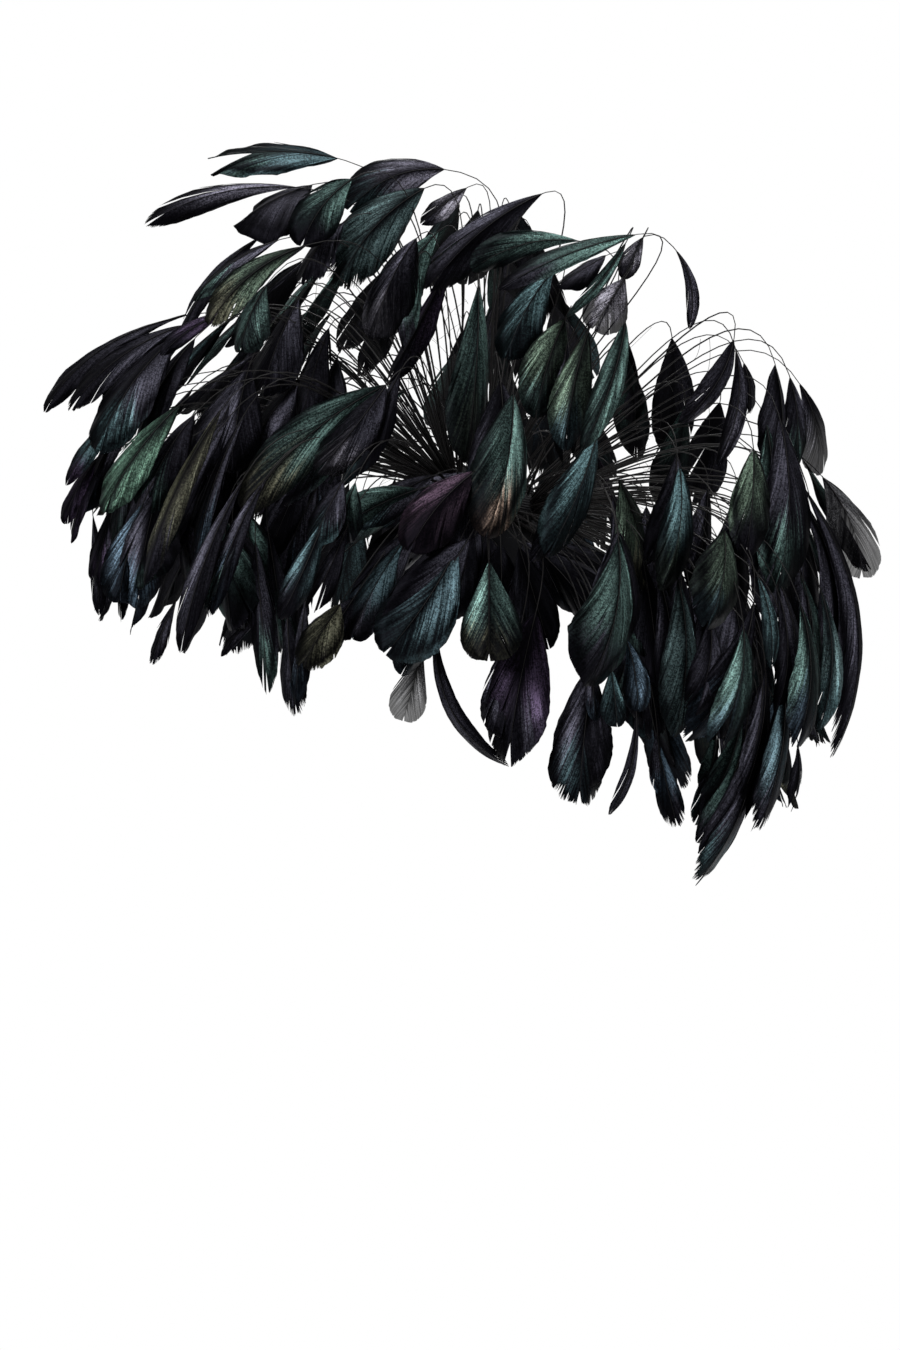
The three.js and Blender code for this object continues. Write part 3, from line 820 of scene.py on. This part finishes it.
def knot_blank():
    """Ball of wound thread, one unit in radius, with the place across its windings as its UV."""
    blank = bmesh.new()
    bmesh.ops.create_uvsphere(blank, u_segments=KNOT_SIDES, v_segments=KNOT_RINGS, radius=1)
    arrays = blank_arrays(blank, lambda face: THREAD_FINISH)
    blank.free()
    arrays["uv"] = arrays["co"][:, [2, 0]]
    return arrays


WISP_SECTIONS = 6
blank_draw = np.random.default_rng(BLANK_SEED)
VANE_BLANKS = {
    name: [vane_blank(cut["partings"], blank_draw) for _ in range(CUT_VARIANTS)]
    for name, cut in CUTS.items()
}
SHAFT_BLANK = rod_blank(QUILL_STEPS + VANE_STEPS)
WISP_BLANK = rod_blank(WISP_SECTIONS)
KNOT_BLANK = knot_blank()

# Where a vane is widest, as a share of its length, how full its outline is, how its barbs crowd
# and sweep to the tip, and how much vanes of one cut differ in outline
WIDEST = 0.6
FULLNESS = 0.6
TIP_CROWDING = 1.5
BARB_SWEEP = 3.4
BARB_CURVE = 1.02
BULGE_SPREAD = (0.85, 1.25)
TIP_SPREAD = (0.7, 1.2)
HALF_SPREAD = (0.85, 1.1)
SHORT_HALF = 0.2

# How unevenly barbs reach out, end, and end where they are frayed
UNEVEN_REACH = 0.012
UNEVEN_END = 0.002
FRAYED_END = 0.012

# Slope of a vane's halves, curl of its edges, lift of a lock of barbs, ruffle of its edge with the
# waves in it, twist from root to tip, and how much thinner its edge is
ROOF = (0.05, 0.4)
CUP = (0.1, 0.4)
LOCK_LIFT = 0.06
RUFFLE = 0.05
RUFFLE_WAVES = (1.5, 3.5)
TWIST = 0.4
VANE_THICKNESS = 0.25 * MM
EDGE_THINNING = 0.5


def along_path(path, name, station):
    """A path's vectors at stations between its own."""
    stations = np.arange(len(path[name]))
    return np.column_stack([np.interp(station, stations, path[name][:, i]) for i in range(3)])


def off_path(path, station, flat, tall):
    """Points beside and above a path at these stations."""
    return (
        along_path(path, "place", station)
        + along_path(path, "across", station) * flat[:, None]
        + along_path(path, "normal", station) * tall[:, None]
    )


def bent_vane(blank, cut, path, length, half_width, draw):
    """Points of one vane: the blank with its barbs swept, roofed, ruffled and parted."""
    row, across = blank["row"], blank["across"]
    side = np.sign(across)
    right = (side > 0).astype(int)
    out = np.abs(across)
    barb = np.rint(row * BARB_ROWS).astype(int)
    ragged = draw.normal(0, 1, (2, BARB_ROWS + 1, 2))
    barb_end = 1 - (1 - row) ** TIP_CROWDING
    skew = cut["bulge"] * draw.uniform(*BULGE_SPREAD) * math.log(0.5) / math.log(WIDEST)
    outline = np.maximum(np.sin(math.pi * barb_end**skew), 0) ** (FULLNESS * (1 - cut["bluntness"] * row))
    outline = np.maximum(outline, cut["tip"] * draw.uniform(*TIP_SPREAD, 2)[right] * np.clip(2 * row, 0, 1))
    outline = outline * draw.uniform(*HALF_SPREAD, 2)[right]
    reach = half_width * outline * (1 + UNEVEN_REACH * ragged[0, barb, right])
    shorter = draw.uniform(0, SHORT_HALF * cut["tip"], 2)[right]
    uneven = UNEVEN_END + FRAYED_END * cut["fray"] * row**4
    end = barb_end - shorter * row**6 + uneven * ragged[1, barb, right]
    foot = cut["shaft"] * row**BARB_SWEEP
    share = foot + (end - foot) * out**BARB_CURVE
    gap = draw.uniform(*cut["gap"]) * MM
    share = share + blank["slip"] * gap / length
    sideways = side * (reach * out - blank["slip"] * gap)

    roof = draw.uniform(*ROOF, 2)[right]
    cup = draw.uniform(*CUP)
    lift = draw.normal(0, LOCK_LIFT, (2, blank["lock"].max() + 1))[right, blank["lock"]]
    height = -reach * (roof * out + cup * out**2.5 + lift * out**2)
    for waves in RUFFLE_WAVES:
        phase = draw.uniform(0, 2 * math.pi, 2)[right]
        height += RUFFLE * half_width * out**2 * np.sin(2 * math.pi * waves * row + phase)
    height -= blank["under"] * VANE_THICKNESS * (1 - EDGE_THINNING * out)

    station = QUILL_STEPS + np.clip(share, 0, 1) * VANE_STEPS
    twist = draw.uniform(-TWIST, TWIST) * share
    flat = sideways * np.cos(twist) - height * np.sin(twist)
    tall = sideways * np.sin(twist) + height * np.cos(twist)
    return off_path(path, station, flat, tall)


# Radii of a shaft at the knot, where the vane begins and at its end, how far it rises out of the
# vane, and over how many stations
SHAFT_FOOT = 0.5 * MM
SHAFT_ROOT = 0.22 * MM
SHAFT_END = 0.07 * MM
SHAFT_RAISE = 0.1 * MM
RAISE_STATIONS = 2


def bent_shaft(blank, path, shaft_share):
    """Points of one shaft: quill and rachis in one tapering rod."""
    last = QUILL_STEPS + shaft_share * VANE_STEPS
    station = blank["share"] * last
    taper = np.interp(station, [0, QUILL_STEPS, last], [SHAFT_FOOT, SHAFT_ROOT, SHAFT_END])
    raised = [QUILL_STEPS - RAISE_STATIONS, QUILL_STEPS + RAISE_STATIONS]
    rise = np.interp(station, raised, [0, SHAFT_RAISE])
    return off_path(path, station, blank["co"][:, 0] * taper, blank["co"][:, 1] * taper + rise)


WISPS_EACH = 2
WISP_LENGTH = (5 * MM, 14 * MM)
WISP_RADIUS = 0.09 * MM
WISP_PLACES = (0.15, 0.6)
WISP_STRAY = 0.5
WISP_CURL = 0.9


def bent_wisp(blank, path, draw):
    """Points of one stray barb that curls away from the quill."""
    station = np.array([draw.uniform(*WISP_PLACES) * QUILL_STEPS])
    start, along = along_path(path, "place", station)[0], along_path(path, "along", station)[0]
    length = draw.uniform(*WISP_LENGTH)
    first = along + draw.normal(0, WISP_STRAY, 3)
    second = first + draw.normal(0, WISP_CURL, 3)
    controls = [start, start + first * length / 2, start + (first + second) * length / 2]
    place, _ = bezier(controls, blank["share"])
    return place + blank["co"] * [WISP_RADIUS, WISP_RADIUS, 0]


def feather_parts(feather, index, knot, walls, draw):
    """Vane, shaft and stray barbs of one feather, with the layers that their finishes read."""
    face, half_width = face_and_half_width(feather, index)
    quill, vane = feather_curves(feather, half_width, knot, walls)
    path = feather_path(quill, vane, face)
    length = (vane[2] - vane[0]).length
    cut = CUTS[feather["cut"]]
    names = feather["sheen"].split("-")
    layers = {
        "sheen": SHEENS[names[0]], "tip_sheen": SHEENS[names[-1]], "number": draw.uniform(0, 1),
        "sheer": SHEER.get(names[-1], 0), "fray": cut["fray"],
    }
    vane_shape = VANE_BLANKS[feather["cut"]][draw.integers(CUT_VARIANTS)]
    bent = [
        (vane_shape, bent_vane(vane_shape, cut, path, length, half_width, draw)),
        (SHAFT_BLANK, bent_shaft(SHAFT_BLANK, path, cut["shaft"])),
    ]
    bent += [(WISP_BLANK, bent_wisp(WISP_BLANK, path, draw)) for _ in range(WISPS_EACH)]
    return [{"blank": blank, "points": points, **layers} for blank, points in bent]


COLOUR_LAYERS = ("sheen", "tip_sheen")
NUMBER_LAYERS = ("number", "sheer", "fray")
KNOT_LAYERS = {**dict.fromkeys(COLOUR_LAYERS, (0, 0, 0)), **dict.fromkeys(NUMBER_LAYERS, 0)}


def joined_piece(name, parts, finishes):
    """One object from many bent blanks, each with its own sheen, tip sheen and numbers."""
    firsts = np.cumsum([0] + [len(part["points"]) for part in parts])
    points = np.vstack([part["points"] for part in parts])
    corners = np.concatenate([part["blank"]["corners"] + first for part, first in zip(parts, firsts)])
    sizes = np.concatenate([part["blank"]["sizes"] for part in parts])
    finish = np.concatenate([part["blank"]["finish"] for part in parts])
    uv = np.vstack([part["blank"]["uv"] for part in parts])
    mesh = bpy.data.meshes.new(name)
    mesh.vertices.add(len(points))
    mesh.vertices.foreach_set("co", points.astype(np.float32).ravel())
    mesh.loops.add(len(corners))
    mesh.loops.foreach_set("vertex_index", corners.astype(np.int32))
    mesh.polygons.add(len(sizes))
    mesh.polygons.foreach_set("loop_start", (np.cumsum(sizes) - sizes).astype(np.int32))
    for material in finishes:
        mesh.materials.append(material)
    mesh.polygons.foreach_set("material_index", finish.astype(np.int32))
    mesh.update(calc_edges=True)
    mesh.shade_smooth()
    mesh.uv_layers.new(name="barbs").data.foreach_set("uv", uv[corners].ravel())
    for layer in COLOUR_LAYERS:
        colours = [np.tile((*part[layer], 1), (len(part["points"]), 1)) for part in parts]
        attribute = mesh.attributes.new(layer, "FLOAT_COLOR", "POINT")
        attribute.data.foreach_set("color", np.vstack(colours).ravel())
    for layer in NUMBER_LAYERS:
        numbers = [np.full(len(part["points"]), part[layer]) for part in parts]
        attribute = mesh.attributes.new(layer, "FLOAT", "POINT")
        attribute.data.foreach_set("value", np.concatenate(numbers))
    made = bpy.data.objects.new(name, mesh)
    bpy.context.collection.objects.link(made)
    return made


def blank_map(start, axis):
    """Place on a blank from its UV map: along it on X and across it on Y."""
    uv = start.node("UVMap", {"uv_map": "barbs"}, {})
    return start.node("SeparateXYZ", {}, {"Vector": uv}, axis)


def feather_layer(start, name, output="Fac"):
    """Colour or number that each feather carries."""
    return start.node("Attribute", {"attribute_name": name}, {}, output)


# Patterns of a vane: repeats along it and across a half, distance between feathers, and detail
VANE_PATTERNS = {
    "patches": (2, 1.4, 70, 2),
    "streaks": (34, 0.7, 40, 3),
    "barbs": (150, 0.8, 60, 2),
    "partings": (11, 0.4, 90, 1),
}
HALVES_APART = 9
SPECKLES = 1100
GLINTS = 2300

# Share of its sheen that a vane keeps on its painted duller half, outside the painted highlight
# band, between patches, streaks and specks, along its shaft and in the painted shade of a parting
KEPT_SHEEN = {
    "half": 0.26, "band": 0.05, "patch": 0.5, "streak": 0.5, "speck": 0.3, "shaft": 0.4, "shaded_parting": 0.2,
}
VANE_BLACK = (0.0011, 0.0010, 0.0017, 1)
VANE_SHINE = 0.05
VANE_CONTRAST = 1.15
VANE_RELIEF = 0.3 * MM
# Strength of the painted glints and of the painted rim highlight
PAINTED_GLINT = 0.3
PAINTED_RIM_HIGHLIGHT = 0.3
SHAFT_SHARE = 0.86


def vane_finish(name, brightness, metallic, roughness):
    """Barbed vane: streaks of sheen over black, finely speckled, with painted light on one half and painted
    shade where barbs part.
    """
    finish, start = new_finish(name)
    row = blank_map(start, "X")
    across = blank_map(start, "Y")
    half = across.math("SIGN")
    out = abs(across)
    number = feather_layer(start, "number")
    spot = start.node("TexCoord", {}, {}, "Object")

    def barb_noise(along, over, apart, detail):
        sockets = {"X": row * along, "Y": across * over + half * HALVES_APART, "Z": number * apart}
        return start.node("CombineXYZ", {}, sockets).noise(1, detail)

    patches = barb_noise(*VANE_PATTERNS["patches"])
    streaks = barb_noise(*VANE_PATTERNS["streaks"])
    barbs = barb_noise(*VANE_PATTERNS["barbs"])
    partings = barb_noise(*VANE_PATTERNS["partings"])
    speckles = spot.noise(SPECKLES, 1)
    glints = spot.noise(GLINTS, 0)
    loose = streaks * 0.6 + barbs * 0.4 - 0.5
    # Partings between locks of barbs: painted shade along each parting, faded near the shaft, and grooves
    # in the relief
    shaded_parting = abs(partings - 0.5).ramp(0.001, 0.014)
    shaded_parting = 1 - (1 - shaded_parting) * out.ramp(0.1, 0.4)

    # Painted light: one half of a vane is painted brighter, most of all in a painted highlight band
    # that runs along it. Multiples of the feather's number choose the half and where the band lies
    painted_lit_half = (number * 300).math("SINE") * half
    lit = painted_lit_half.ramp(-0.4, 0.4).above(KEPT_SHEEN["half"])
    band_out = 0.2 + 0.45 * (number * 37).math("FRACT")
    band_row = 0.35 + 0.25 * (number * 53).math("FRACT")
    band = 1 - (abs(out - band_out) - 0.5 * loose).ramp(0.0, 0.52)
    band = band * (1 - (abs(row - band_row) - 0.5 * loose).ramp(0.1, 0.54))
    light = lit * band
    patch = (patches + 0.5 * loose).ramp(0.34, 0.62).above(KEPT_SHEEN["patch"])
    streak = loose.ramp(-0.16, 0.16).above(KEPT_SHEEN["streak"])
    grain = (speckles * 0.5 + glints * 0.3 + barbs * 0.2).ramp(0.4, 0.6).above(KEPT_SHEEN["speck"])
    shaft_line = out.ramp(0.02, 0.07).above(KEPT_SHEEN["shaft"])
    # A painted rim highlight along the edge of the painted brighter half, fading towards the tip
    rim = out.ramp(0.82, 0.95) * painted_lit_half.ramp(0.3, 0.8) * (1 - row.ramp(0.6, 0.95))
    strength = light.above(KEPT_SHEEN["band"]) * patch * streak * grain * shaft_line
    strength = strength * shaded_parting.above(KEPT_SHEEN["shaded_parting"])
    # Painted glints in the painted highlight band, and the painted rim highlight, are added to the sheen
    strength = strength + PAINTED_GLINT * glints.ramp(0.62, 0.75) * light + PAINTED_RIM_HIGHLIGHT * rim * grain

    # The sheen changes on the way to the tip, where barbs of a sheer vane thin out and others fray
    foot = row**BARB_SWEEP * SHAFT_SHARE
    share = foot + (row - foot) * out
    to_tip = (share + (patches - 0.5) * 0.5 + loose * 1.1).ramp(0.5, 0.78)
    sheen = to_tip.mix(feather_layer(start, "sheen", "Color"), feather_layer(start, "tip_sheen", "Color"))
    ragged = 0.02 + 0.26 * (barbs * 0.55 + streaks * 0.45).ramp(0.4, 0.68)
    barb_end = 1 - feather_layer(start, "fray") * row.ramp(0.62, 0.9) * ragged
    kept = 1 - (out - barb_end).ramp(0.0, 0.03)
    thin = (share + 0.2 * out + 1.4 * loose).ramp(0.1, 0.9)
    veil = 1 - feather_layer(start, "sheer") * thin * (0.3 + 0.16 * barbs.ramp(0.35, 0.65))
    relief = shaded_parting * 0.6 + barbs * 0.4 + speckles * 0.3
    close_finish(start, {
        "Base Color": (strength**VANE_CONTRAST * brightness).mix(VANE_BLACK, sheen),
        "Metallic": metallic,
        "Roughness": roughness + 0.25 * (speckles - 0.5) + 0.1 * (1 - strength),
        "Specular IOR Level": VANE_SHINE,
        "Alpha": kept * veil,
        "Normal": relief.bump(0.4, VANE_RELIEF),
    })
    return finish


vane_face = vane_finish("vane_face", brightness=2.1, metallic=0.85, roughness=0.33)
vane_underside = vane_finish("vane_underside", brightness=0.6, metallic=0.4, roughness=0.5)

QUILL_DARK = (0.0015, 0.0015, 0.0015, 1)
QUILL_PALE = (0.006, 0.005, 0.005, 1)
QUILL_RINGS = 30
QUILLS_APART = 50
QUILL_SHINE = 0.16
quill_horn, start = new_finish("quill_horn")
number = feather_layer(start, "number")
ring_sockets = {"X": blank_map(start, "X") * QUILL_RINGS, "Y": number * QUILLS_APART, "Z": 0}
rings = start.node("CombineXYZ", {}, ring_sockets).noise(1, 3)
close_finish(start, {
    "Base Color": rings.mix(QUILL_DARK, QUILL_PALE),
    "Roughness": 0.34 + 0.3 * rings,
    "Specular IOR Level": QUILL_SHINE,
})

THREAD_DARK = (0.001, 0.001, 0.0012, 1)
THREAD_PALE = (0.007, 0.007, 0.008, 1)
THREAD_FUZZ = 900
THREAD_RELIEF = 0.3 * MM
THREAD_SHINE = 0.1
THREAD_SLANT = 0.2
WINDINGS = 38
binding_thread, start = new_finish("binding_thread")
level = blank_map(start, "X") + THREAD_SLANT * blank_map(start, "Y")
fuzz = start.node("TexCoord", {}, {}, "Object").noise(THREAD_FUZZ, 3)
# The colour follows the windings, darker in the grooves between them: painted shade. The same windings
# raise the relief
wound = (level * WINDINGS + fuzz * 2).math("SINE")
close_finish(start, {
    "Base Color": (0.3 + 0.3 * wound + 0.4 * fuzz).mix(THREAD_DARK, THREAD_PALE),
    "Roughness": 0.6 + 0.2 * fuzz,
    "Specular IOR Level": THREAD_SHINE,
    "Normal": (wound + fuzz).bump(0.6, THREAD_RELIEF),
})

SPRAY_FINISHES = [vane_face, vane_underside, quill_horn, binding_thread]
for bunch in BUNCHES:
    azimuth = math.radians(bunch["azimuth"])
    walls = sector_walls(azimuth)
    knot = knot_centre(azimuth)
    draw = np.random.default_rng(bunch["azimuth"])
    knot_points = KNOT_BLANK["co"] * KNOT_RADIUS + np.array(knot)
    parts = [{"blank": KNOT_BLANK, "points": knot_points, **KNOT_LAYERS}]
    for index, feather in enumerate(bunch_feathers(bunch, draw)):
        parts += feather_parts(feather, index, knot, walls, draw)
    spray = joined_piece(bunch["name"] + "_feathers", parts, SPRAY_FINISHES)
    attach(spray, "root")
    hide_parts(bunch["name"])

# Floor, light and background
# A pale floor well below the feathers, soft boxes to both sides and above, and a plain white
# background.
FLOOR_LEVEL = -0.45
FLOOR_RADIUS = 1.2
FLOOR_SEGMENTS = 96
FLOOR_DULL = (0.86, 0.86, 0.87, 1)
FLOOR_PALE = (0.9, 0.9, 0.9, 1)
FLOOR_CLOUDS = 3
FLOOR_ROUGHNESS = 0.7
floor_paint, start = new_finish("pale_floor")
mottle = start.node("TexCoord", {}, {}, "Object").noise(FLOOR_CLOUDS, 2)
close_finish(start, {
    "Base Color": mottle.mix(FLOOR_DULL, FLOOR_PALE),
    "Roughness": FLOOR_ROUGHNESS,
})
disc = bmesh.new()
bmesh.ops.create_circle(disc, cap_ends=True, segments=FLOOR_SEGMENTS, radius=FLOOR_RADIUS)
bmesh.ops.translate(disc, verts=disc.verts[:], vec=(0, 0, FLOOR_LEVEL))
floor = finished_object("pale_floor", disc, [floor_paint])

# Place, width, height and brightness of each soft box, which points at the middle of the base
SOFT_BOXES = {
    "left_box": ((-1.3, -1.3, 0.9), 0.9, 1.3, 9.0),
    "right_box": ((1.4, -1.3, 0.3), 0.6, 1.4, 7.0),
    "top_box": ((0.1, -0.3, 1.7), 1.4, 1.0, 10.5),
    "rear_box": ((0.4, 1.8, 0.9), 1.2, 1.0, 4.0),
}
for name, (spot, width, height, brightness) in SOFT_BOXES.items():
    lamp = bpy.data.lights.new(name, "AREA")
    lamp.shape = "RECTANGLE"
    lamp.size = width
    lamp.size_y = height
    lamp.energy = brightness * math.pi * width * height
    box = bpy.data.objects.new(name, lamp)
    box.location = spot
    box.rotation_euler = (-Vector(spot)).to_track_quat("-Z", "Y").to_euler()
    bpy.context.collection.objects.link(box)

ROOM_LIGHT = (0.16, 0.16, 0.17, 1)
BACKGROUND = (1.0, 1.0, 1.0, 1)
world = bpy.data.worlds.new("studio")
world.use_nodes = True
world.node_tree.nodes.clear()
start = Shade(world.node_tree)
seen_by_camera = start.node("LightPath", {}, {}, "Is Camera Ray")
glow = start.node("Background", {}, {"Color": seen_by_camera.mix(ROOM_LIGHT, BACKGROUND)})
start.node("OutputWorld", {}, {"Surface": glow})
bpy.context.scene.world = world
bpy.context.scene.view_settings.view_transform = "Standard"
